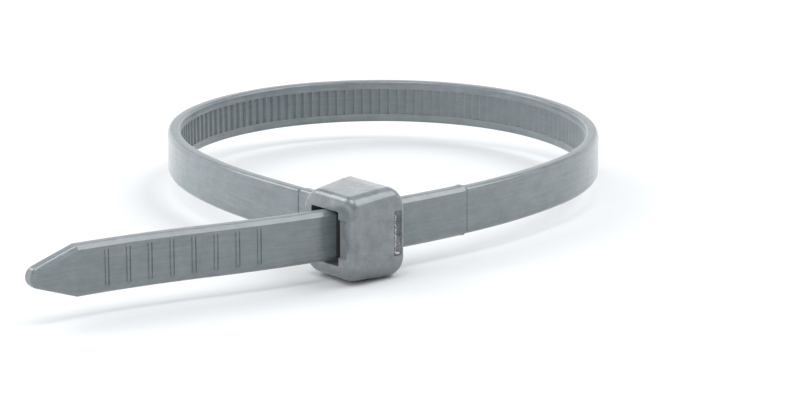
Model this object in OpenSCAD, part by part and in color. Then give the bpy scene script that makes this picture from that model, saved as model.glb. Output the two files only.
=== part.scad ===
// Nylon cable tie, closed into a loop with its tail through the head.
// Millimetres, Z up. The origin is under the middle of the head, which rests on Z = 0.
// The tail leaves the slot towards -X and the root of the strap leaves towards +Y.

/* [Strap] */
// Width of the strap
strap_w = 4.8; // [4.4:0.1:5.6]
// Thickness of the strap
strap_t = 1.3; // [1.2:0.05:1.4]
// Distance across the closed loop
loop_d = 48; // [44:1:72]
// Distance from one tooth to the next
tooth_pitch = 1; // [0.8:0.1:1.6]
// Depth of the teeth
tooth_h = 0.45; // [0.3:0.05:0.6]
// Plain strap between the head and the first step
stub_l = 4.9; // [4:0.1:7]

/* [Tail] */
// Free tail from the end of the loop curve to the nose
tail_l = 17.5; // [12:0.5:20.5]
// Length of the pointed tip
tip_l = 4.7; // [3:0.1:7]
// Width of the blunt nose
nose_w = 1.5; // [1:0.1:2.4]
// Number of grip bars on the tail
bar_count = 8; // [0:1:9]
// Distance from one grip bar to the next
bar_pitch = 2.15; // [1.6:0.05:2.4]
// Height of a grip bar above the strap
bar_h = 0.16; // [0.08:0.02:0.24]

/* [Head] */
// Depth of the head along the slot
head_d = 6.4; // [5.8:0.1:7]
// Wall between the slot and the root of the strap
root_wall = 1.15; // [1.1:0.05:1.6]
// Wall between the slot and the free end of the head
end_wall = 2.1; // [1.8:0.1:3]
// Wall above and below the slot
side_wall = 1.65; // [1.5:0.05:2]
// Radius of the head's corners beside the root of the strap
corner_r = 1.6; // [1.2:0.1:1.9]
// Radius of the head's corners at its free end
end_r = 0.9; // [0.8:0.05:1.4]
// Radius of the edges around both faces of the head
edge_r = 0.7; // [0.4:0.05:0.8]
// Taper of the head above and below, from its middle to the exit face
taper = 0.3; // [0.1:0.05:0.5]

/* [Hidden] */
$fn = 64;
curve_fn = 240;

nylon = [0.6, 0.62, 0.64];
eps = 0.01;

// Slot
slot_y = 3.6;
slot_side_gap = 0.25;
slot_h = strap_w + 2 * slot_side_gap;
slot_root = -root_wall;
slot_end = slot_root - slot_y;
flare_d = 0.8;
flare_w = 0.35;

// Head block
head_h = slot_h + 2 * side_wall;
head_exit = -head_d / 2;
head_entry = head_d / 2;
head_end = slot_end - end_wall;
mid_z = head_h / 2;
mid_y = -head_end / 2;
cut_margin = 1;
taper_x = -0.6;

// Recess beside the slot on the exit face
recess_w = 1.15;
recess_h = 3.6;
recess_d = 0.2;

// Gate scar on the free end of the head
scar_w = 1;
scar_h = 4.3;
scar_d = 0.15;
scar_edge = 0.3;

// Neck between the head and the strap
neck_r = 0.8;
neck_face_r = 0.5;
neck_in = 0.6;

// Sections of the strap
plain_bevel = 0.4;
plain_back = 0.12;
band_in = 0.06;
band_bevel = 0.3;
band_back = 0.2;
channel_share = 0.58;
channel_w = strap_w * channel_share;

// Directions that close into whole numbers: 7-24-25 and 3-4-5 triangles
sin_a = 0.28;
cos_a = 0.96;
sin_b = 0.6;
cos_b = 0.8;
ang_a = acos(cos_a);
ang_b = acos(cos_b);
far = 250;

// Radii of the outer face of the loop, in the order of the strap
loop_scale = loop_d / 48;
function snap(v) = round(v * 20) / 20;
r1 = snap(51.1 * loop_scale);
r2 = snap(28.85 * loop_scale);
r3 = snap(23.05 * loop_scale);
r5 = snap(26.05 * loop_scale);
r6 = snap(54.45 * loop_scale);
r7 = 100.3;
r8 = 76.1;

// End of the toothed band in front of the slot
join_x = 12.7;
join_y = -4.9;

// One radius and one straight close the loop
r4 = join_x - (1 - cos_a) * r1 - (cos_a - cos_b) * r2 - cos_b * r3
    + (1 - sin_a) * r5 + sin_a * r6;
root_l = join_y - sin_a * r1 - (sin_b - sin_a) * r2 - (1 - sin_b) * r3
    + r4 + cos_a * r5 + (1 - cos_a) * r6;

// Centres of the curves
c1 = [r1, root_l];
c2 = c1 - (r1 - r2) * [cos_a, -sin_a];
c3 = c2 - (r2 - r3) * [cos_b, -sin_b];
c4 = c3 + (r3 - r4) * [0, 1];
c5 = c4 + (r4 - r5) * [1, 0];
c6 = c5 + (r5 - r6) * [sin_a, -cos_a];
c7 = [join_x, join_y + r7];
c8 = c7 - (r7 + r8) * [sin_a, cos_a];

// Teeth
tooth_ramp = 0.42;
tooth_root = 0.26;
first_tooth = 0.8;
tooth_over = 0.5;

// Tip and grip bars
tip_ang = tail_l / r8 * 180 / PI;
tip_mid_ang = 90 - ang_a + tip_ang - tip_l / 2 / r8 * 180 / PI;
nose_bevel = 0.3;
bar_first = 7.5;
bar_w = 0.48;
bar_len = strap_w * 0.7;
bar_sink = 0.3;

// Pawl
pawl_h = 3.1;
pawl_shift = strap_t - 1.3;
pawl_hinge = 0.85;
pawl_tip = -2.3;
ledge_y = 0.8;
ledge_z = 0.45;

// Section of the plain root and the tail, outer face at x = 0
module plain_section() {
    h = strap_w / 2;
    polygon([
        [0, plain_bevel - h],
        [plain_bevel, -h],
        [strap_t - plain_back, -h],
        [strap_t, plain_back - h],
        [strap_t, h - plain_back],
        [strap_t - plain_back, h],
        [plain_bevel, h],
        [0, h - plain_bevel]
    ]);
}

// Section of the toothed band, a little narrower with softer edges
module band_section() {
    h = strap_w / 2 - band_in;
    polygon([
        [0, band_bevel - h],
        [band_bevel, -h],
        [strap_t - band_back, -h],
        [strap_t, band_back - h],
        [strap_t, h - band_back],
        [strap_t - band_back, h],
        [band_bevel, h],
        [0, h - band_bevel]
    ]);
}

// Quarter ring about the origin, outer face of the strap at radius r
module band_quarter(r) {
    rotate_extrude(angle = 90, $fn = curve_fn)
        translate([r, 0])
            mirror([1, 0])
                band_section();
}

module plain_quarter(r) {
    rotate_extrude(angle = 90, $fn = curve_fn)
        translate([r, 0])
            mirror([1, 0])
                plain_section();
}

// Quarter ring that curves the other way, outer face inside
module back_quarter(r) {
    rotate_extrude(angle = 90, $fn = curve_fn)
        translate([r, 0])
            plain_section();
}

// Upright wedge through the centre of a curve
module wedge(points) {
    translate([0, 0, -strap_w])
        linear_extrude(2 * strap_w)
            polygon(points);
}

// One sawtooth notch in the inner face, at polar angle a
module notch(r, a) {
    rotate([0, 0, a])
        translate([r - strap_t, 0, -channel_w / 2])
            linear_extrude(channel_w)
                notch_profile();
}

module notch_profile() {
    polygon([
        [-tooth_over, tooth_ramp * tooth_pitch],
        [0, tooth_ramp * tooth_pitch],
        [tooth_h, -tooth_root * tooth_pitch],
        [0, -tooth_ramp * tooth_pitch],
        [-tooth_over, -tooth_ramp * tooth_pitch]
    ]);
}

// Row of notches on a curve that starts at polar angle a and runs clockwise
module notches(r, a, sweep) {
    count = round(sweep * PI / 180 * (r - strap_t / 2) / tooth_pitch);
    for (i = [0 : count - 1])
        notch(r, a - (i + 0.5) * sweep / count);
}

// Straight band between the plain root and the first curve
module band_straight() {
    run = root_l - stub_l;
    count = floor((run - first_tooth) / tooth_pitch);
    difference() {
        translate([0, root_l, 0])
            rotate([90, 0, 0])
                linear_extrude(run)
                    band_section();
        for (i = [0 : count - 1])
            translate([strap_t, root_l - (i + 0.5) * tooth_pitch, -channel_w / 2])
                mirror([1, 0, 0])
                    linear_extrude(channel_w)
                        mirror([0, 1])
                            notch_profile();
    }
}

module curve_1() {
    translate(c1)
        difference() {
            intersection() {
                rotate([0, 0, 90])
                    band_quarter(r1);
                wedge([[0, 0], [-far * cos_a, far * sin_a], [-far, -far / 10], [0, -far / 10]]);
            }
            notches(r1, 180, ang_a);
        }
}

module curve_2() {
    translate(c2)
        difference() {
            intersection() {
                rotate([0, 0, 90])
                    band_quarter(r2);
                wedge([[0, 0], [-far * cos_b, far * sin_b], [-far * cos_a, far * sin_a]]);
            }
            notches(r2, 180 - ang_a, ang_b - ang_a);
        }
}

module curve_3() {
    translate(c3)
        difference() {
            intersection() {
                rotate([0, 0, 90])
                    band_quarter(r3);
                wedge([[0, 0], [far / 10, 0], [far / 10, far], [-far / 2, far], [-far * cos_b, far * sin_b]]);
            }
            notches(r3, 180 - ang_b, 90 - ang_b);
        }
}

module curve_4() {
    translate(c4)
        difference() {
            band_quarter(r4);
            notches(r4, 90, 90);
        }
}

module curve_5() {
    translate(c5)
        difference() {
            intersection() {
                rotate([0, 0, 270])
                    band_quarter(r5);
                wedge([[0, 0], [far * sin_a, -far * cos_a], [far, -far], [far, far / 10], [0, far / 10]]);
            }
            notches(r5, 0, 90 - ang_a);
        }
}

module curve_6() {
    translate(c6)
        difference() {
            intersection() {
                rotate([0, 0, 270])
                    band_quarter(r6);
                wedge([[0, 0], [-far / 10, 0], [-far / 10, -far], [far * sin_a, -far * cos_a]]);
            }
            notches(r6, ang_a - 90, ang_a);
        }
}

// Tail through the slot
module curve_7() {
    translate(c7)
        intersection() {
            rotate([0, 0, 180])
                plain_quarter(r7);
            wedge([[0, 0], [-far * sin_a, -far * cos_a], [far / 10, -far], [far / 10, 0]]);
        }
}

// Free end of the tail, curving the other way
module curve_8() {
    translate(c8)
        difference() {
            intersection() {
                back_quarter(r8);
                wedge([[0, 0], [far * sin_a, far * cos_a], [-far / 10, far], [-far / 10, 0]]);
            }
            rotate([0, 0, tip_mid_ang])
                tip_cut();
        }
}

// Everything outside the pointed tip, with the bevels that run round it
module tip_cut() {
    h = strap_w / 2;
    n = nose_w / 2;
    t = tip_l / 2;
    slope = atan((h - n) / tip_l);
    start = -t - cut_margin;
    wide = h + cut_margin * tan(slope);
    bevel = plain_bevel * sqrt(2);
    translate([r8 - cut_margin, 0, 0])
        rotate([90, 0, 90])
            linear_extrude(strap_t + 2 * cut_margin)
                polygon([
                    [start, wide],
                    [t - nose_bevel, n],
                    [t, n - nose_bevel],
                    [t, nose_bevel - n],
                    [t - nose_bevel, -n],
                    [start, -wide],
                    [start, -wide - cut_margin],
                    [tail_l, -wide - cut_margin],
                    [tail_l, wide + cut_margin],
                    [start, wide + cut_margin]
                ]);
    for (side = [-1, 1])
        translate([r8, 0, side * (h + n) / 2])
            rotate([-side * slope, 0, 0])
                rotate([0, 45, 0])
                    cube([bevel, 2 * tip_l, bevel], center = true);
    translate([r8, t, 0])
        rotate([0, 0, 45])
            cube([bevel, bevel, nose_w + cut_margin], center = true);
}

// Grip bars, counted from the nose
module bars() {
    for (i = [0 : 1 : bar_count - 1]) {
        d = bar_first + i * bar_pitch;
        if (d < tail_l)
            translate(c8)
                rotate([0, 0, 90 - ang_a + tip_ang - d / r8 * 180 / PI])
                    translate([r8 - bar_h, -bar_w / 2, -bar_len / 2])
                        cube([bar_h + bar_sink, bar_w, bar_len]);
        if (d >= tail_l)
            translate(c7)
                rotate([0, 0, ang_a - 90 - 2 * ang_a + (d - tail_l) / r7 * 180 / PI])
                    translate([r7 - bar_sink, -bar_w / 2, -bar_len / 2])
                        cube([bar_h + bar_sink, bar_w, bar_len]);
    }
}

// Plain root with the neck fillets that carry it out of the head
module root() {
    h = strap_w / 2;
    translate([0, stub_l, 0])
        rotate([90, 0, 0])
            linear_extrude(stub_l + neck_in)
                plain_section();
    for (side = [0, 1])
        mirror([0, 0, side])
            rotate([90, 0, 90])
                linear_extrude(strap_t)
                    difference() {
                        translate([-neck_in, h - plain_bevel])
                            square([neck_in + neck_r, plain_bevel + neck_r]);
                        translate([neck_r, h + neck_r])
                            circle(neck_r);
                        translate([neck_r, h])
                            square([cut_margin, cut_margin]);
                    }
    translate([0, 0, -h])
        linear_extrude(strap_w)
            difference() {
                translate([-neck_face_r, -neck_in])
                    square([strap_t + 2 * neck_face_r, neck_in + neck_face_r]);
                translate([-neck_face_r, neck_face_r])
                    circle(neck_face_r);
                translate([strap_t + neck_face_r, neck_face_r])
                    circle(neck_face_r);
            }
}

// Rectangle with rounded corners
module rounded(size, r) {
    translate([r, 0])
        square([size[0] - 2 * r, size[1]]);
    translate([0, r])
        square([size[0], size[1] - 2 * r]);
    for (x = [r, size[0] - r], y = [r, size[1] - r])
        translate([x, y])
            circle(r);
}

// Head block with rounded corners and edges, tapered towards the exit
module head_block() {
    len_y = -head_end;
    len_z = head_h;
    difference() {
        union() {
            // Middle of the block in Y, edges rounded above and below
            translate([head_exit, -corner_r, -len_z / 2])
                rotate([90, 0, 0])
                    linear_extrude(len_y - corner_r - end_r)
                        rounded([head_d, len_z], edge_r);
            // Middle of the block in Z, edges rounded at both ends
            translate([head_exit, head_end + end_r, corner_r - len_z / 2])
                linear_extrude(len_z - 2 * corner_r)
                    rounded([head_d, len_y - end_r], edge_r);
            translate([head_exit, head_end, end_r - len_z / 2])
                linear_extrude(len_z - 2 * end_r)
                    rounded([head_d, len_y - corner_r], edge_r);
            for (z = [corner_r - len_z / 2, len_z / 2 - corner_r])
                head_corner(-corner_r, z, corner_r);
            for (z = [end_r - len_z / 2, len_z / 2 - end_r])
                head_corner(head_end + end_r, z, end_r);
        }
        for (side = [0, 1])
            mirror([0, 0, side])
                taper_cut();
    }
}

module head_corner(y, z, r) {
    translate([0, y, z])
        rotate([0, 90, 0])
            rotate_extrude()
                corner_profile(r);
}

module corner_profile(r) {
    translate([0, head_exit])
        difference() {
            union() {
                square([r - edge_r, head_d]);
                translate([0, edge_r])
                    square([r, head_d - 2 * edge_r]);
                for (x = [edge_r, head_d - edge_r])
                    translate([r - edge_r, x])
                        circle(edge_r);
            }
            translate([-r, -cut_margin])
                square([r, head_d + 2 * cut_margin]);
        }
}

// Wedge taken off the top, from the middle of the head to the exit face
module taper_cut() {
    drop = taper * (taper_x - head_exit + cut_margin) / (taper_x - head_exit);
    translate([0, cut_margin, head_h / 2])
        rotate([90, 0, 0])
            linear_extrude(-head_end + 2 * cut_margin)
                polygon([
                    [taper_x, 0],
                    [taper_x, cut_margin],
                    [head_exit - cut_margin, cut_margin],
                    [head_exit - cut_margin, -drop]
                ]);
}

// Slot with its flared entry, the recess beside its exit and the gate scar
module head_cuts() {
    translate([head_exit - cut_margin, slot_end, -slot_h / 2])
        cube([head_d + 2 * cut_margin, slot_y, slot_h]);
    translate([0, 0, -slot_h / 2])
        linear_extrude(slot_h)
            polygon([
                [head_entry - flare_d, slot_end],
                [head_entry + eps, slot_end - flare_w],
                [head_entry + eps, slot_root + flare_w],
                [head_entry - flare_d, slot_root]
            ]);
    translate([head_exit - cut_margin, slot_end - recess_w, -recess_h / 2])
        cube([cut_margin + recess_d, recess_w + eps, recess_h]);
    translate([head_entry - scar_edge - scar_w, head_end - cut_margin, -scar_h / 2])
        cube([scar_w, cut_margin + scar_d, scar_h]);
}

// Pawl hinged on the root side of the slot, pushed back by the tail
module pawl() {
    translate([0, 0, -pawl_h / 2])
        linear_extrude(pawl_h)
            polygon([
                [pawl_hinge, slot_root + eps + eps],
                [pawl_hinge, -1.5],
                [pawl_tip + 0.2, -1.62],
                [pawl_tip, -1.78],
                [pawl_tip, -2.1],
                [-2.1, pawl_shift - 2.34],
                [-1.35, pawl_shift - 2.08],
                [-1.1, pawl_shift - 2.46],
                [-0.35, pawl_shift - 2.2],
                [-0.1, pawl_shift - 2.58],
                [1.7, -2.05],
                [pawl_hinge + 1.05, slot_root + eps + eps]
            ]);
}

// Ledges that guide the edges of the strap past the pawl
module ledges() {
    for (side = [0, 1])
        mirror([0, 0, side])
            translate([pawl_tip, slot_root - ledge_y, slot_h / 2 - ledge_z])
                cube([head_entry - flare_d - pawl_tip, ledge_y + eps, ledge_z + eps]);
}

module cable_tie() {
    color(nylon)
        translate([0, mid_y, mid_z])
            union() {
                difference() {
                    head_block();
                    head_cuts();
                }
                pawl();
                ledges();
                root();
                band_straight();
                curve_1();
                curve_2();
                curve_3();
                curve_4();
                curve_5();
                curve_6();
                curve_7();
                curve_8();
                bars();
            }
}

cable_tie();
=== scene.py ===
import math

import bmesh
import bpy
import numpy as np
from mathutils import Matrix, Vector


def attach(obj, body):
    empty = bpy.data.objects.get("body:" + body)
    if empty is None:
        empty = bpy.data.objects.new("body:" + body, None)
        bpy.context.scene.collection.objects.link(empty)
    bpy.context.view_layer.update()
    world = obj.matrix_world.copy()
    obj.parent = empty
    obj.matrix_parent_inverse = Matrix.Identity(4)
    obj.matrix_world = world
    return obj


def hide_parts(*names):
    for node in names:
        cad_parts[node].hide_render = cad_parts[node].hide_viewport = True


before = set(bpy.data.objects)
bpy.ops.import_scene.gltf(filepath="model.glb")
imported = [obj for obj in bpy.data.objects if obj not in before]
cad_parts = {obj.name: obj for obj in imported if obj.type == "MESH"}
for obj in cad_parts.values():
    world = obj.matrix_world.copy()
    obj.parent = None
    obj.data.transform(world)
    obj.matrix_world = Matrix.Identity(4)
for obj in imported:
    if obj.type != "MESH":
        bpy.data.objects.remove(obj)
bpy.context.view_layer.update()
scene = bpy.context.scene
rng = np.random.default_rng(7)

# Sizes are in millimetres. The large ones are those of the part. Relief, edges, corners, the slot and the
# taper of the head follow the photograph

MM = 0.001
# The strap's own origin: outer face of the root at the wall of the head, middle of the width
OFFSET = np.array([0.0, 3.425, 4.3])

# Strap
STRAP_W = 4.8
STRAP_T = 1.3
BEVEL = 0.4
# Plain strap beside the head, and the straight run up to the first curve
STUB_L = 4.9
ROOT_L = 11.128
# How far in from the edge the flat back starts
BACK_IN = 0.2
# Neck between the head and the stub: growth across and in depth, and how far it starts inside the head
NECK_W = 0.8
NECK_T = 0.45
NECK_IN = 0.35

# Toothed band
BAND_W = 4.62
BAND_SOFT_U = 0.42
BAND_SOFT_Z = 0.62
PITCH = 1.0
TOOTH_H = 0.19
RAMP = 0.42
ROOT = 0.26
# Half width of the channel that the teeth stand in, and plain band before the first tooth
CHANNEL = 1.39
FIRST_TOOTH = 0.8
# Groove beside the first and the second step, and how much wider the strap is at the second
GROOVE_1 = 0.09
GROOVE_2 = 0.07
LIP_2 = 0.1

# Curves of the loop: radius of the outer face, sweep, teeth
ANG_A = math.acos(0.96)
ANG_B = math.acos(0.8)
CURVES = [
    (51.1, ANG_A, True),
    (28.85, ANG_B - ANG_A, True),
    (23.05, math.pi / 2 - ANG_B, True),
    (21.602, math.pi / 2, True),
    (26.05, math.pi / 2 - ANG_A, True),
    (54.45, ANG_A, True),
    (100.3, ANG_A, False),
]

# Tail, which bends the other way
TAIL_R = 76.1
TAIL_L = 17.5
TIP_L = 4.7
NOSE_W = 1.55
NOSE_R = 0.6
BAR_FIRST = 7.5
BAR_PITCH = 2.15
BAR_COUNT = 8
BAR_HALF = 1.68
BAR_H = 0.05

# Head: half its depth along the slot, its two sides and its height
HEAD_X = 3.2
HEAD_ROOT = 0.2
HEAD_END = -6.85
HEAD_H = 8.6
# Edges round the exit and entry faces, across and up
EXIT_RY = 0.55
EXIT_RZ = 0.8
ENTRY_RY = 0.45
ENTRY_RZ = 1.3
# Corners beside the root, large at the exit and small at the entry, and the way from one to the other
ROOT_R_EXIT = 1.7
ROOT_R_ENTRY = 0.4
ROOT_R_RUN = 5.4
# Corners at the free end, and the smallest that a corner may become
END_R = 1.3
MIN_R = 0.2
# Taper towards the exit: drop, where it starts and its length
TAPER = 0.3
TAPER_START = 1.1
TAPER_L = 4.3
# Small step on the underside, from the exit up to here
SEAM_X = 1.2
SEAM_L = 0.18
SEAM_H = 0.06

# Slot, the recess beside it and the gate scar on the free end
SLOT_ROOT = -0.85
SLOT_END = -4.75
SLOT_H = 5.2
SLOT_Z = -0.06
FLARE_L = 0.8
FLARE_W = 0.35
RECESS_W = 1.15
RECESS_HALF = 1.8
RECESS_D = 0.2
SCAR_X0 = 1.85
SCAR_X1 = 2.75
SCAR_HALF = 2.15
SCAR_D = 0.15
# Half width of the pawl, and where each ledge beside it starts and ends, across and along the slot
PAWL_HALF = 1.55
LEDGE_IN = 2.2
LEDGE_OUT = 2.7
LEDGE_X = 2.3

# Between these two the head is round the strap, which gets painted shade there, a near-black colour
SHADE_X0 = 0.6 - HEAD_X
SHADE_X1 = HEAD_X - 0.2
# Height of the strip along the strap's top and bottom with a rougher finish and painted shade, darker
EDGE_STRIP = 0.12
# Texture units a millimetre, and what sets the inner half of the section apart from the outer one
UV_SCALE = 0.02
UV_INNER = 0.3


# Mesh helpers

def local(point):
    """Scene point in the strap's own millimetres."""
    return point / MM - Vector(OFFSET)


def mark_sharp(bm, degrees):
    for f in bm.faces:
        f.smooth = True
    for e in bm.edges:
        e.smooth = len(e.link_faces) == 2 and e.calc_face_angle(0.0) < math.radians(degrees)


def new_object(name, verts, faces, sharp=32.0, uvs=None):
    mesh = bpy.data.meshes.new(name)
    v = (np.asarray(verts, float) + OFFSET) * MM
    mesh.from_pydata([tuple(p) for p in v], [], [tuple(int(i) for i in f) for f in faces])
    if uvs is not None:
        layer = mesh.uv_layers.new(name="strap")
        for loop in mesh.loops:
            layer.data[loop.index].uv = uvs[loop.vertex_index]
    bm = bmesh.new()
    bm.from_mesh(mesh)
    bmesh.ops.remove_doubles(bm, verts=bm.verts, dist=2e-7)
    bmesh.ops.dissolve_degenerate(bm, edges=bm.edges, dist=1e-7)
    bmesh.ops.recalc_face_normals(bm, faces=bm.faces)
    mark_sharp(bm, sharp)
    bm.to_mesh(mesh)
    bm.free()
    obj = bpy.data.objects.new(name, mesh)
    bpy.context.collection.objects.link(obj)
    return obj


def bevel_edges(obj, width, segments, degrees):
    """Add a bevel on the edges sharper than an angle, and apply all the modifiers."""
    bevel = obj.modifiers.new("edge", "BEVEL")
    bevel.width = width * MM
    bevel.segments = segments
    bevel.limit_method = "ANGLE"
    bevel.angle_limit = math.radians(degrees)
    dg = bpy.context.evaluated_depsgraph_get()
    mesh = bpy.data.meshes.new_from_object(obj.evaluated_get(dg))
    obj.modifiers.clear()
    old = obj.data
    obj.data = mesh
    bpy.data.meshes.remove(old)
    bm = bmesh.new()
    bm.from_mesh(mesh)
    mark_sharp(bm, 30.0)
    bm.to_mesh(mesh)
    bm.free()


def loft(rings):
    """Quads between rings of equal length, with both ends filled."""
    n = len(rings[0])
    verts = [p for ring in rings for p in ring]
    faces = []
    for k in range(len(rings) - 1):
        for i in range(n):
            j = (i + 1) % n
            faces.append((k * n + i, k * n + j, (k + 1) * n + j, (k + 1) * n + i))
    last = (len(rings) - 1) * n
    faces.append(tuple(range(n))[::-1])
    faces.append(tuple(range(last, last + n)))
    return verts, faces


def on_circle(ca, cb, r, degrees, along=0.0):
    """Point on a circle, moved along the tangent there."""
    c = math.cos(math.radians(degrees))
    s = math.sin(math.radians(degrees))
    return (ca + r * c - along * s, cb + r * s + along * c)


def outline(a0, a1, h, r1, r0, steps=8, support=0.0):
    """Points round a rectangle a0..a1 by -h..h, with radius r1 at the a1 side and r0 at the a0 side."""
    corners = [
        (a1 - r1, h - r1, r1, 0),
        (a0 + r0, h - r0, r0, 90),
        (a0 + r0, r0 - h, r0, 180),
        (a1 - r1, r1 - h, r1, 270),
    ]
    pts = []
    for ca, cb, r, start in corners:
        if support:
            pts.append(on_circle(ca, cb, r, start, -support))
        for k in range(steps + 1):
            pts.append(on_circle(ca, cb, r, start + 90 * k / steps))
        if support:
            pts.append(on_circle(ca, cb, r, start + 90, support))
    return pts


def rounding(d, r):
    """How far a rounded edge of radius r lies inside at distance d from its face."""
    return r - math.sqrt(max(0.0, r * r - (r - d) ** 2)) if d < r else 0.0


# Path of the strap

def centre_of(p, heading, r):
    return p + r * np.array([math.cos(heading), -math.sin(heading)])


def build_path():
    """Segments of the outer line: start length, start point, heading, length, signed radius."""
    p, th = np.array([0.0, 0.0]), 0.0
    segs = [(0.0, p, th, ROOT_L, 0.0)]
    p = p + ROOT_L * np.array([math.sin(th), math.cos(th)])
    s = ROOT_L
    for r, sweep, _ in CURVES + [(-TAIL_R, TAIL_L / TAIL_R, False)]:
        length = abs(r) * sweep
        segs.append((s, p, th, length, r))
        c = centre_of(p, th, r)
        th = th + math.copysign(sweep, r)
        p = centre_of(c, th, -r)
        s += length
    return segs, s


def place(s, u, z):
    """Point at length s along the outer line, depth u below the outer face and height z."""
    k = max([0] + [i for i, g in enumerate(SEGS) if g[0] <= s + 1e-9])
    s0, p, th, _, r = SEGS[k]
    if r == 0.0:
        p, t = p + (s - s0) * np.array([math.sin(th), math.cos(th)]), th
    else:
        t = th + (s - s0) / r
        p = centre_of(centre_of(p, th, r), t, -r)
    return (p[0] + u * math.cos(t), p[1] - u * math.sin(t), z)


def length_at(x, low, high):
    """Length along the strap between low and high at which it crosses x, where x falls along the strap."""
    while high - low > 1e-4:
        mid = (low + high) / 2
        if place(mid, 0.0, 0.0)[0] > x:
            low = mid
        else:
            high = mid
    return low


SEGS, TOTAL = build_path()
# Length at which the teeth end, and at which the strap leaves the shade of the head
STEP_2 = SEGS[7][0]
SHADE_END = length_at(SHADE_X0, STEP_2, SEGS[8][0])


# Sections of the strap: half of the outline, from the middle of the outer face to the middle of the inner one

def plain_half(w=STRAP_W, low=0.0, rib=0.0):
    """Bevelled section; low takes the outer face down for the nose, rib lifts the part under a grip bar."""
    h, t = w / 2, STRAP_T
    flat = h - BEVEL + low
    full = STRAP_W / 2 - BEVEL
    pts = []
    for f in (0.0, 0.3, 0.6, (BAR_HALF - 0.04) / full, (BAR_HALF + 0.02) / full, 0.95):
        under_bar = f * full <= BAR_HALF + 1e-6
        pts.append((low - (rib if under_bar else 0.0), f * flat))
    # Bevel, with soft ends
    rest = BEVEL - low
    for du, dz in ((0.02, 0.0), (0.1, 0.07), (0.5, 0.5), (0.92, 0.90)):
        pts.append((low + du * rest, flat + dz * rest))
    pts += [(BEVEL + 0.03, h - 0.004), (BEVEL + 0.10, h), (t - 0.35, h), (t - 0.2, h)]
    # Back corner and back
    pts += [(t - 0.12, h - 0.012), (t - 0.04, h - 0.06), (t - 0.005, h - 0.13), (t, h - BACK_IN)]
    return pts + [(t, f * (h - BACK_IN)) for f in (0.8, 0.6, 0.4, 0.2, 0.0)]


def band_half(sink=0.0, depth=0.0, w=BAND_W):
    """Toothed band: softly rounded edges on the outer face, a channel of teeth along the inner one."""
    h, t = w / 2, STRAP_T
    pts = [(sink, f * (h - BAND_SOFT_Z)) for f in (0.0, 0.4, 0.8, 1.0)]
    for k in range(1, 9):
        a = math.pi / 2 * k / 8
        pts.append((BAND_SOFT_U * (1 - math.cos(a)) + sink, h - BAND_SOFT_Z * (1 - math.sin(a))))
    # Back corner, back and channel
    pts += [(t - 0.35, h), (t - 0.26, h - 0.012), (t - 0.17, h - 0.04), (t - 0.08, h - 0.10)]
    pts += [(t - 0.02, h - 0.19), (t, h - 0.3), (t, CHANNEL + 0.25), (t, CHANNEL + 0.012)]
    return pts + [(t - depth, CHANNEL), (t - depth, CHANNEL * 0.5), (t - depth, 0.0)]


def neck_half(across, deep):
    """Section of the stub, widened where it meets the head."""
    out = []
    for u, z in band_half(w=STRAP_W):
        edge = abs(z) / (STRAP_W / 2)
        out.append((u + (deep if u > STRAP_T / 2 else -deep), z + across * edge ** 3))
    return out


# Rows of the strap: length along it and half section

def stub_rows():
    """Neck, plain stub and the first step."""
    rows = [(-NECK_IN, neck_half(NECK_W, NECK_T))]
    for k in range(9):
        a = math.pi / 2 * k / 8
        fade = 1 - math.sin(a)
        rows.append((NECK_W * (1 - math.cos(a)), neck_half(NECK_W * fade, NECK_T * fade ** 1.2)))
    for s in (1.2, 2.4, 3.6, STUB_L - 0.05, STUB_L):
        rows.append((s, band_half(w=STRAP_W)))
    for d, sink in ((0.03, GROOVE_1), (0.15, GROOVE_1), (0.22, 0.02), (0.5, 0.0)):
        rows.append((STUB_L + d, band_half(sink)))
    return rows


def tooth_rows():
    """Teeth of the straight and of each curve, and the second step."""
    marks = []
    count = int((ROOT_L - STUB_L - FIRST_TOOTH) / PITCH)
    for i in reversed(range(count)):
        marks.append((ROOT_L - (i + 0.5) * PITCH, PITCH))
    s = ROOT_L
    for r, sweep, toothed in CURVES:
        if toothed:
            n = round(sweep * (r - STRAP_T / 2) / PITCH)
            step = r * sweep / n
            marks += [(s + (i + 0.5) * step, step) for i in range(n)]
        s += r * sweep
    rows = []
    for c, p in marks:
        rows.append((c - 0.5 * p, band_half()))
        rows.append((c - RAMP * p, band_half()))
        rows.append((c - 0.08 * p, band_half(depth=0.5 * TOOTH_H)))
        rows.append((c + ROOT * p - 0.03, band_half(depth=TOOTH_H)))
        rows.append((c + ROOT * p + 0.02, band_half(depth=TOOTH_H)))
        rows.append((c + RAMP * p, band_half()))
    for d, sink in ((0.16, 0.02), (0.11, GROOVE_2), (0.02, GROOVE_2)):
        rows.append((STEP_2 - d, band_half(sink)))
    return rows


def even_rows(start, end):
    """Plain rows half a millimetre apart."""
    rows = []
    while start < end:
        rows.append((start, plain_half()))
        start += 0.5
    return rows


def tail_rows():
    """Plain strap behind the second step, with a groove on both sides of each grip bar."""
    rows = [(STEP_2 + d, plain_half(STRAP_W + LIP_2)) for d in (0.0, 0.25)]
    rows.append((STEP_2 + 0.4, plain_half()))
    bars = sorted(TOTAL - BAR_FIRST - i * BAR_PITCH for i in range(BAR_COUNT))
    rows += even_rows(STEP_2 + 0.9, bars[0] - 0.7)
    profile = [
        (-0.31, 0.0), (-0.26, 0.0), (-0.22, -0.08), (-0.15, -0.08), (-0.11, BAR_H * 0.6), (-0.07, BAR_H),
        (0.07, BAR_H), (0.11, BAR_H * 0.6), (0.15, -0.055), (0.21, -0.055), (0.25, 0.0), (0.3, 0.0),
    ]
    for c in bars:
        rows += [(c + d, plain_half(rib=rib)) for d, rib in profile]
        if c < bars[-1]:
            rows.append((c + BAR_PITCH / 2, plain_half()))
    tip = TOTAL - TIP_L
    rows += even_rows(bars[-1] + 0.9, tip - 0.1)
    return rows + [(s, plain_half()) for s in (tip - 0.06, tip, SHADE_END)]


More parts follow.
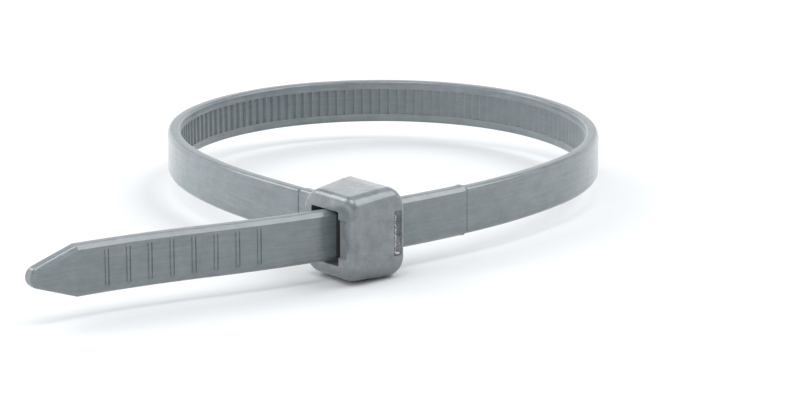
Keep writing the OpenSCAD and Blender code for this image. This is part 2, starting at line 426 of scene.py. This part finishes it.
def tip_rows():
    """Pointed tip with a rounded nose, whose outer face is bevelled down at the end."""
    ends = [TIP_L - 0.06] + [TIP_L * (1 - k / 12) for k in range(1, 11)]
    ends += [BEVEL + 0.06, BEVEL, 0.3, 0.22, 0.15, 0.09, 0.05, 0.02, 0.0]
    rows = []
    for e in sorted(ends, reverse=True):
        h = NOSE_W / 2 + (STRAP_W - NOSE_W) / 2 * e / TIP_L - rounding(e, NOSE_R)
        rows.append((TOTAL - e, plain_half(2 * h, low=max(0.0, BEVEL - e) * 0.97)))
    return rows


def make_strap():
    rings, uvs = [], []
    rows = stub_rows() + tooth_rows() + tail_rows() + tip_rows()
    for s, half in sorted(rows, key=lambda row: row[0]):
        ring = half + [(u, -z) for u, z in half[-2:0:-1]]
        rings.append([place(s, u, z) for u, z in ring])
        uvs += [(s * UV_SCALE, z * UV_SCALE + (UV_INNER if u > STRAP_T / 2 else 0.0)) for u, z in ring]
    verts, faces = loft(rings)
    obj = new_object("tie_strap", verts, faces, 38.0, uvs)
    for name in ("nylon_strap", "nylon_rough_shaded_flat", "nylon_painted_shade", "nylon_shaded_channel"):
        obj.data.materials.append(nylon[name])
    uv = obj.data.uv_layers["strap"].data
    for p in obj.data.polygons:
        x, y, z = local(p.center)
        # Top and bottom flats: rougher finish, and painted shade in a darker colour
        on_edge = abs(p.normal.z) > 0.85 and abs(abs(z) - STRAP_W / 2) < EDGE_STRIP
        # Tooth channel: painted shade in a darker colour, with a rougher finish
        in_channel = uv[p.loop_start].uv.y > UV_INNER / 2 and abs(z) < CHANNEL + 0.01
        # Painted shade: the strap inside the head gets the near-black nylon
        if SHADE_X0 < x < SHADE_X1 and y < SLOT_ROOT:
            p.material_index = 2
        elif on_edge:
            p.material_index = 1
        elif in_channel:
            p.material_index = 3
    return obj


# Head

def head_block():
    xs = [EXIT_RZ * (1 - math.cos(math.radians(9 * k))) - HEAD_X for k in range(11)]
    xs += [EXIT_RZ + 0.06 - HEAD_X, -1.6, -0.6, 0.4, 1.0, 1.06, 1.16, 1.22, 1.5]
    xs += [HEAD_X - ENTRY_RZ * (1 - math.cos(math.radians(6 * k))) for k in range(15, -1, -1)]
    rings = []
    for x in sorted(set(round(x, 4) for x in xs)):
        a, b = x + HEAD_X, HEAD_X - x
        dy = rounding(a, EXIT_RY) + rounding(b, ENTRY_RY)
        dz = rounding(a, EXIT_RZ) + rounding(b, ENTRY_RZ)
        h = HEAD_H / 2 - TAPER * max(0.0, (TAPER_START - x) / TAPER_L)
        lip = SEAM_H * min(1.0, max(0.0, (SEAM_X - x) / SEAM_L))
        cut = min(dy, dz) * 0.7
        root = HEAD_ROOT - rounding(a, 0.2) - rounding(b, ENTRY_RY)
        root_r = ROOT_R_EXIT - (ROOT_R_EXIT - ROOT_R_ENTRY) * min(1.0, a / ROOT_R_RUN)
        points = outline(HEAD_END + dy, root, h - dz, max(root_r - cut, MIN_R), END_R - cut, 9, 0.05)
        rings.append([(x, y, z if z > 0 else z + lip) for y, z in points])
    return new_object("tie_head", *loft(rings), sharp=30.0)


def head_cutters():
    """Slot with its flared entry, the recess beside it on the exit face, and the gate scar."""
    flare = [(-HEAD_X - 1, 0.0), (HEAD_X - FLARE_L, 0.0), (HEAD_X + 0.02, FLARE_W), (HEAD_X + 1, FLARE_W)]
    slot = []
    for x, g in flare:
        points = outline(SLOT_END - g, SLOT_ROOT + g, SLOT_H / 2, 0.18, 0.18, 3)
        slot.append([(x, y, z + SLOT_Z) for y, z in points])
    recess = []
    for x in (-HEAD_X - 1, RECESS_D - HEAD_X):
        points = outline(SLOT_END - RECESS_W, SLOT_END + 0.4, RECESS_HALF, 0.12, 0.12, 3)
        recess.append([(x, y, z) for y, z in points])
    scar = []
    for y in (HEAD_END - 1, HEAD_END + SCAR_D):
        points = outline(SCAR_X0, SCAR_X1, SCAR_HALF, 0.1, 0.1, 3)
        scar.append([(x, y, z) for x, z in points])
    named = (("cut_slot", slot), ("cut_recess", recess), ("cut_scar", scar))
    return [new_object(name, *loft(rings)) for name, rings in named]


def make_head():
    head = head_block()
    cutters = head_cutters()
    for cutter in cutters:
        m = head.modifiers.new(cutter.name, "BOOLEAN")
        m.operation = "DIFFERENCE"
        m.solver = "EXACT"
        m.object = cutter
    bevel_edges(head, 0.07, 3, 40)
    for cutter in cutters:
        bpy.data.objects.remove(cutter)
    # The walls inside the slot get painted shade: a near-black, rougher nylon
    head.data.materials.clear()
    head.data.materials.append(nylon["nylon_head"])
    head.data.materials.append(nylon["nylon_painted_shade"])
    for p in head.data.polygons:
        x, y, z = local(p.center)
        along_slot = abs(x) < HEAD_X - 0.12 and SLOT_END - 0.4 < y < SLOT_ROOT + 0.4
        if along_slot and abs(z - SLOT_Z) < SLOT_H / 2 + 0.01:
            p.material_index = 1
    return head


def make_pawl():
    """Pawl pressed back by the strap, and the two ledges beside it."""
    shape = [
        (1.9, -1.05), (0.85, -1.05), (0.85, -1.5), (-2.1, -1.62), (-2.3, -1.78), (-2.3, -2.1),
        (-2.1, -2.34), (-1.35, -2.08), (-1.1, -2.46), (-0.35, -2.2), (-0.1, -2.58), (1.7, -2.05),
    ]
    verts, faces = loft([[(x, y, z) for x, y in shape] for z in (-PAWL_HALF, PAWL_HALF)])
    ledge = ((-LEDGE_X, -1.95), (LEDGE_X, -1.95), (LEDGE_X, -1.1), (-LEDGE_X, -1.1))
    for heights in ((-LEDGE_OUT, -LEDGE_IN), (LEDGE_IN, LEDGE_OUT)):
        base = len(verts)
        v, f = loft([[(x, y, z) for x, y in ledge] for z in heights])
        verts += v
        faces += [tuple(base + j for j in face) for face in f]
    pawl = new_object("tie_pawl", verts, faces)
    bevel_edges(pawl, 0.05, 2, 25)
    # Painted shade: the pawl, deep in the slot, gets the near-black nylon
    pawl.data.materials.clear()
    pawl.data.materials.append(nylon["nylon_painted_shade"])
    return pawl


def make_scar():
    """Torn surface left in the gate scar: a rough patch on the floor of its recess."""
    nx, nz = 22, 96
    x0, x1 = SCAR_X0 + 0.02, SCAR_X1 - 0.02
    z0, z1 = 0.03 - SCAR_HALF, SCAR_HALF - 0.03
    lip, border, highest = 0.15, 0.1, 0.16
    rise = 0.02 + rng.random((nx, nz)) * 0.1
    for _ in range(60):
        i, j, size = rng.integers(1, nx - 2), rng.integers(1, nz - 3), rng.integers(1, 3)
        rise[i:i + size, j:j + size + 1] += rng.random() * 0.12
    # Raised ridge down the left side and a torn lip across the bottom, coloured light as painted glints
    white = np.zeros((nx, nz), bool)
    for j in range(6, nz - 8):
        if rng.random() < 0.62:
            i = rng.integers(1, 4)
            white[i:i + 4, j] = True
    white[4:16, 3:7] = True
    rise[white] = lip
    rise[:, 0] = rise[:, -1] = rise[0, :] = rise[-1, :] = border
    verts, faces = [], []
    for i in range(nx):
        x = x0 + (x1 - x0) * i / (nx - 1)
        for j in range(nz):
            y = HEAD_END + SCAR_D + 0.005 - min(rise[i, j], highest)
            verts.append((x, y, z0 + (z1 - z0) * j / (nz - 1)))
    for i in range(nx - 1):
        for j in range(nz - 1):
            a = i * nz + j
            faces.append((a, a + 1, a + nz + 1, a + nz))
    scar = new_object("tie_scar", verts, faces, 12.0)
    scar.data.materials.append(nylon["nylon_torn"])
    scar.data.materials.append(nylon["nylon_painted_glint"])
    for p in scar.data.polygons:
        x, _, z = local(p.center)
        i = int((x - x0) / (x1 - x0) * (nx - 1))
        j = int((z - z0) / (z1 - z0) * (nz - 1))
        # Painted glints: the ridge and lip get the light nylon
        if white[i, j]:
            p.material_index = 1
    return scar


# Node helpers

def add(nt, kind, inputs=None, **settings):
    """New node with its settings, and with values for inputs by name or number."""
    n = nt.nodes.new(kind)
    for key, v in settings.items():
        setattr(n, key, v)
    for key, v in (inputs or {}).items():
        n.inputs[key].default_value = v
    return n


def node_tree(owner):
    owner.use_nodes = True
    owner.node_tree.nodes.clear()
    return owner.node_tree


def map_range(nt, source, low, high, at_low, at_high):
    values = {"From Min": low, "From Max": high, "To Min": at_low, "To Max": at_high}
    n = add(nt, "ShaderNodeMapRange", values)
    nt.links.new(source, n.inputs["Value"])
    return n.outputs["Result"]


def blend(nt, factor, a, b):
    n = add(nt, "ShaderNodeMix", {0: factor}, data_type="FLOAT")
    nt.links.new(a, n.inputs[2])
    nt.links.new(b, n.inputs[3])
    return n.outputs[0]


def combine(nt, operation, a, b):
    """Math on an output and either another output or a number."""
    n = add(nt, "ShaderNodeMath", operation=operation)
    nt.links.new(a, n.inputs[0])
    if isinstance(b, float):
        n.inputs[1].default_value = b
    else:
        nt.links.new(b, n.inputs[1])
    return n.outputs["Value"]


def sees_background(nt):
    """1 for the rays that show the white background: camera, glossy and transmission."""
    path = add(nt, "ShaderNodeLightPath").outputs
    value = path["Is Camera Ray"]
    for name in ("Is Glossy Ray", "Is Transmission Ray"):
        value = combine(nt, "MAXIMUM", value, path[name])
    return value


def grey(r, g, b):
    return (r, g, b, 1)


# Materials

# Name: light and dark tone, smallest and largest roughness, bump, scale of the grain, streaks along the strap
NYLON = {
    "nylon_strap": (grey(0.234, 0.265, 0.282), grey(0.157, 0.182, 0.198), 0.18, 0.27, 0.14, 3800.0, True),
    # Rougher nylon with painted shade, darker, for the top and bottom flats
    "nylon_rough_shaded_flat": (grey(0.196, 0.222, 0.237), grey(0.134, 0.155, 0.168), 0.4, 0.52, 0.4, 3800.0, True),
    # Darker, rougher nylon: painted shade in the tooth channel
    "nylon_shaded_channel": (grey(0.192, 0.218, 0.234), grey(0.14, 0.162, 0.177), 0.3, 0.42, 0.14, 3800.0, True),
    "nylon_head": (grey(0.245, 0.272, 0.287), grey(0.156, 0.178, 0.192), 0.16, 0.28, 0.3, 3000.0, False),
    # Near-black nylon: painted shade for the strap, the slot walls and the pawl inside the head
    "nylon_painted_shade": (grey(0.06, 0.063, 0.066), grey(0.035, 0.037, 0.04), 0.6, 0.7, 0.3, 3000.0, False),
    "nylon_torn": (grey(0.32, 0.33, 0.34), grey(0.09, 0.1, 0.105), 0.1, 0.25, 0.5, 2500.0, False),
    # Light nylon: painted glints on the scar's ridge and lip
    "nylon_painted_glint": (grey(0.75, 0.76, 0.77), grey(0.5, 0.51, 0.52), 0.3, 0.5, 0.4, 2500.0, False),
}
STREAK_SHARE = 0.45
CLOUD = {"Scale": 640.0, "Detail": 6.0, "Roughness": 0.72}
SCUFF = {"Scale": 1400.0, "Detail": 5.0, "Roughness": 0.7}
SHEEN = {"IOR": 1.53, "Specular IOR Level": 1.0, "Sheen Weight": 0.5, "Sheen Roughness": 0.3}


def nylon_material(name, light, dark, smooth, rough, bump, grain_scale, streaks):
    """Moulded grey nylon: faint clouding, streaks along the strap, fine moulded grain, satin sheen."""
    mat = bpy.data.materials.new(name)
    nt = node_tree(mat)
    link = nt.links.new
    coord = add(nt, "ShaderNodeTexCoord")

    def noise(values):
        n = add(nt, "ShaderNodeTexNoise", values)
        link(coord.outputs["Object"], n.inputs["Vector"])
        return n.outputs["Fac"]

    tone = noise(CLOUD)
    if streaks:
        stretch = add(nt, "ShaderNodeMapping", {"Scale": (12.0, 150.0, 1.0)})
        streak = add(nt, "ShaderNodeTexNoise", {"Scale": 1.0, "Detail": 4.0, "Roughness": 0.6})
        link(coord.outputs["UV"], stretch.inputs["Vector"])
        link(stretch.outputs["Vector"], streak.inputs["Vector"])
        tone = blend(nt, STREAK_SHARE, tone, streak.outputs["Fac"])
    ramp = add(nt, "ShaderNodeValToRGB")
    for stop, position, color in zip(ramp.color_ramp.elements, (0.36, 0.64), (dark, light)):
        stop.position = position
        stop.color = color
    link(tone, ramp.inputs["Fac"])
    grain = noise({"Scale": grain_scale, "Detail": 3.0, "Roughness": 0.6})
    scuff = noise(SCUFF)
    relief = add(nt, "ShaderNodeBump", {"Strength": bump, "Distance": 0.05 * MM})
    link(blend(nt, 0.5, grain, scuff), relief.inputs["Height"])
    bsdf = add(nt, "ShaderNodeBsdfPrincipled", SHEEN)
    link(ramp.outputs["Color"], bsdf.inputs["Base Color"])
    link(map_range(nt, scuff, 0.3, 0.7, smooth, rough), bsdf.inputs["Roughness"])
    link(relief.outputs["Normal"], bsdf.inputs["Normal"])
    out = add(nt, "ShaderNodeOutputMaterial")
    link(bsdf.outputs["BSDF"], out.inputs["Surface"])
    return mat


# Floor: colour where it is seen, colour that the part gets its light from, glow far away
FLOOR_SEEN = (0.72, 0.72, 0.723, 1)
FLOOR_BOUNCE = (0.45, 0.45, 0.45, 1)
FLOOR_GLOW = (0.985, 0.99, 1.0, 1)
GLOW_START = 0.15
GLOW_END = 0.9
GLOW_STRENGTH = 0.75


def floor_material():
    """White table that glows towards its horizon, and throws less light on the part than white paper does."""
    mat = bpy.data.materials.new("floor_white")
    nt = node_tree(mat)
    link = nt.links.new
    seen = add(nt, "ShaderNodeBsdfDiffuse", {"Color": FLOOR_SEEN})
    bounce = add(nt, "ShaderNodeBsdfDiffuse", {"Color": FLOOR_BOUNCE})
    glow = add(nt, "ShaderNodeEmission", {"Color": FLOOR_GLOW})
    # Distance from the object, in metres
    coord = add(nt, "ShaderNodeTexCoord")
    away = add(nt, "ShaderNodeVectorMath", operation="LENGTH")
    link(coord.outputs["Object"], away.inputs[0])
    strength = map_range(nt, away.outputs["Value"], GLOW_START, GLOW_END, 0.0, GLOW_STRENGTH)
    link(strength, glow.inputs["Strength"])
    both = add(nt, "ShaderNodeAddShader")
    mix = add(nt, "ShaderNodeMixShader")
    out = add(nt, "ShaderNodeOutputMaterial")
    link(seen.outputs["BSDF"], both.inputs[0])
    link(glow.outputs["Emission"], both.inputs[1])
    link(sees_background(nt), mix.inputs["Fac"])
    link(bounce.outputs["BSDF"], mix.inputs[1])
    link(both.outputs["Shader"], mix.inputs[2])
    link(mix.outputs["Shader"], out.inputs["Surface"])
    return mat


# The tie, in four pieces that stand for its one node

nylon = {name: nylon_material(name, *values) for name, values in NYLON.items()}
for piece in (make_strap(), make_head(), make_pawl(), make_scar()):
    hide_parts("cable_tie")
    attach(piece, "root")

# Floor, just under the part

FLOOR_HALF = 3.0
FLOOR_GAP = 0.00002
floor_mesh = bpy.data.meshes.new("floor")
corners = [(FLOOR_HALF * x, FLOOR_HALF * y, 0) for x, y in ((-1, -1), (1, -1), (1, 1), (-1, 1))]
floor_mesh.from_pydata(corners, [], [(0, 1, 2, 3)])
floor = bpy.data.objects.new("floor", floor_mesh)
floor.location = (0, 0, -FLOOR_GAP)
bpy.context.collection.objects.link(floor)
floor_mesh.materials.append(floor_material())


# Light

# Soft light of the world, each side with its direction, how narrow it is and its strength
SIDE_LIGHTS = [
    ((-0.6, 0.8, 0.1), 0.35, 1.6),
    ((-0.9, -0.36, 0.2), 0.5, 1.5),
    ((0.97, 0.2, 0.1), 0.3, 1.75),
    ((0.64, 0.73, 0.25), 0.2, 0.9),
]
FILL_LIGHT = 0.05
SIDE_COLOR = (0.955, 0.985, 1.0, 1)
# Sine of the height at which the white sweep starts to darken and where it is darkest, and its strength there
CEILING_START = 0.34
CEILING_END = 0.46
CEILING = 0.1
# Name, place, target, width, height, power
LAMPS = [
    ("right", (0.31, -0.20, 0.46), (0.0, 0.0, 0.005), 0.40, 0.44, 1.65),
    ("overhead", (-0.08, 0.0, 0.52), (0.0, 0.0, 0.005), 0.26, 0.26, 0.85),
    ("rear left", (-0.14, 0.44, 0.37), (0.0, 0.02, 0.005), 0.26, 0.20, 0.6),
]
LAMP_COLOR = (0.95, 0.985, 1.0)


def make_world():
    """Soft light from four sides, and for the rays that show it a white sweep under a darker ceiling."""
    world = bpy.data.worlds.new("studio")
    scene.world = world
    nt = node_tree(world)
    link = nt.links.new
    way = add(nt, "ShaderNodeTexCoord").outputs["Generated"]
    split = add(nt, "ShaderNodeSeparateXYZ")
    link(way, split.inputs["Vector"])
    white = add(nt, "ShaderNodeBackground", {"Color": (1, 1, 1, 1)})
    sweep = map_range(nt, split.outputs["Z"], CEILING_START, CEILING_END, 1.0, CEILING)
    link(sweep, white.inputs["Strength"])
    sides = []
    for direction, start, strength in SIDE_LIGHTS:
        towards = add(nt, "ShaderNodeVectorMath", {1: direction}, operation="DOT_PRODUCT")
        link(way, towards.inputs[0])
        sides.append(map_range(nt, towards.outputs["Value"], start, 1.0, 0.0, strength))
    total = sides[0]
    for side in sides[1:]:
        total = combine(nt, "ADD", total, side)
    soft = add(nt, "ShaderNodeBackground", {"Color": SIDE_COLOR})
    link(combine(nt, "ADD", total, FILL_LIGHT), soft.inputs["Strength"])
    mix = add(nt, "ShaderNodeMixShader")
    out = add(nt, "ShaderNodeOutputWorld")
    link(sees_background(nt), mix.inputs["Fac"])
    link(soft.outputs["Background"], mix.inputs[1])
    link(white.outputs["Background"], mix.inputs[2])
    link(mix.outputs["Shader"], out.inputs["Surface"])


def softbox(name, location, target, width, height, power):
    data = bpy.data.lights.new(name, "AREA")
    data.shape = "RECTANGLE"
    data.size = width
    data.size_y = height
    data.energy = power
    data.color = LAMP_COLOR
    obj = bpy.data.objects.new(name, data)
    obj.location = location
    obj.rotation_euler = (Vector(target) - Vector(location)).to_track_quat("-Z", "Y").to_euler()
    bpy.context.collection.objects.link(obj)


make_world()
for lamp in LAMPS:
    softbox(*lamp)

# Camera, as fitted to the photograph: its width and focal length in pixels, then place, pitch and heading

PHOTO_W = 800
FOCAL_PX = 3049.5
SENSOR = 36.0
CAMERA_PLACE = (-0.177854, -0.210916, 0.077193)
PITCH_DOWN = 14.305
HEADING = 41.006

cam_data = bpy.data.cameras.new("camera")
cam_data.sensor_width = SENSOR
cam_data.lens = FOCAL_PX / PHOTO_W * SENSOR
cam_data.clip_start = 0.01
cam_data.clip_end = 20.0
cam = bpy.data.objects.new("camera", cam_data)
cam.location = CAMERA_PLACE
cam.rotation_euler = (math.radians(90 - PITCH_DOWN), 0.0, math.radians(-HEADING))
bpy.context.collection.objects.link(cam)
scene.camera = cam
scene.view_settings.view_transform = "Standard"
